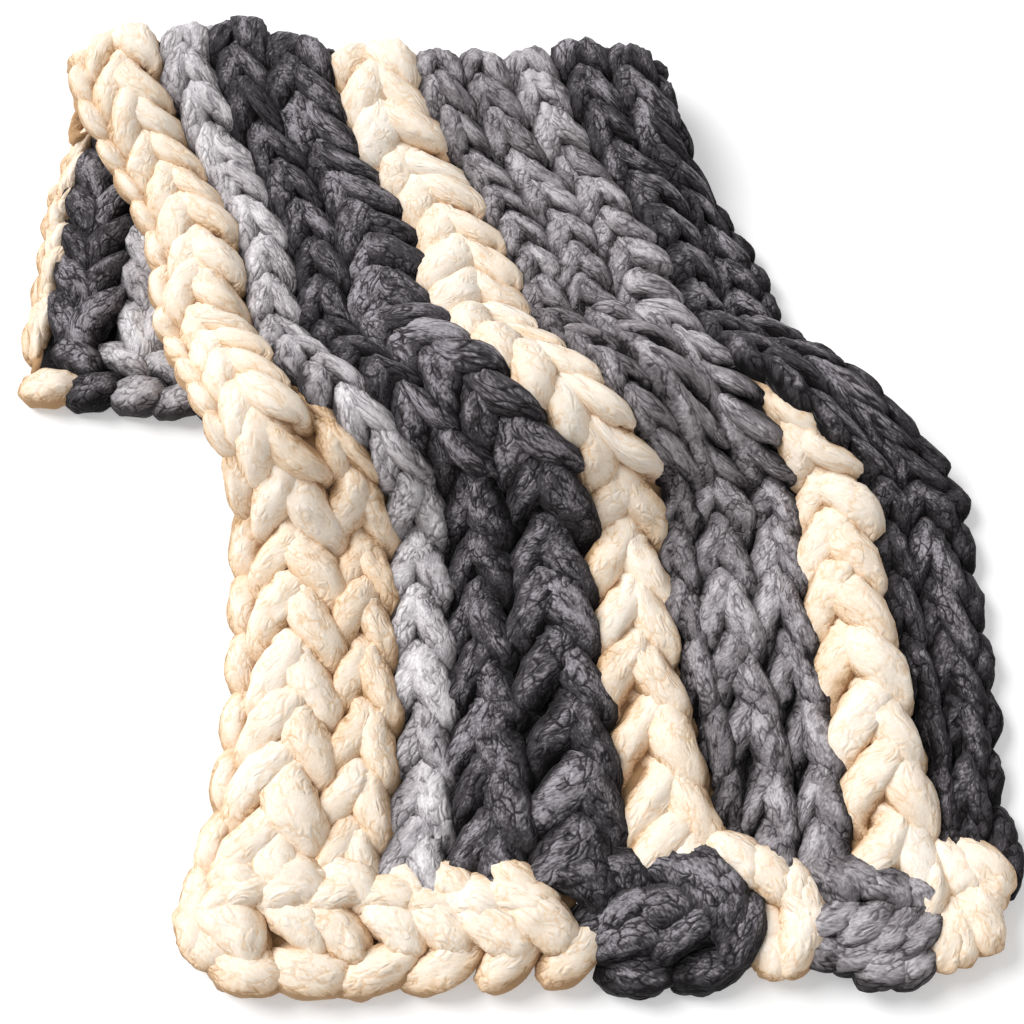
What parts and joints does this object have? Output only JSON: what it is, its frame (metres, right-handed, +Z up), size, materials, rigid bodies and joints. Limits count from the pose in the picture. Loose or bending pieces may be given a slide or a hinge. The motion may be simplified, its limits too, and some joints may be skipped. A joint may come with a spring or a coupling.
{
  "type": "chunky knit blanket",
  "caption": "Thick knitted throw with lengthwise stripes, laid out flat in soft flutes, one wave across it and its far end folded under.",
  "frame": {"origin": "middle of the outline in plan, on the surface the blanket lies on", "axes": "+Z up, out of the surface; +Y along the columns of stitches, from the near hem to the folded end; +X across them, from the wide cream stripe to the last charcoal stripe"},
  "size_m": [1.3776, 1.4378, 0.2081],
  "materials": {
    "cream_yarn": "soft velvety yarn",
    "light_grey_yarn": "soft velvety yarn, mottled",
    "mid_grey_yarn": "soft velvety yarn, mottled",
    "charcoal_yarn": "soft velvety yarn, mottled"
  },
  "bodies": {
    "root": {"blanket": "cream_yarn"}
  },
  "joints": []
}
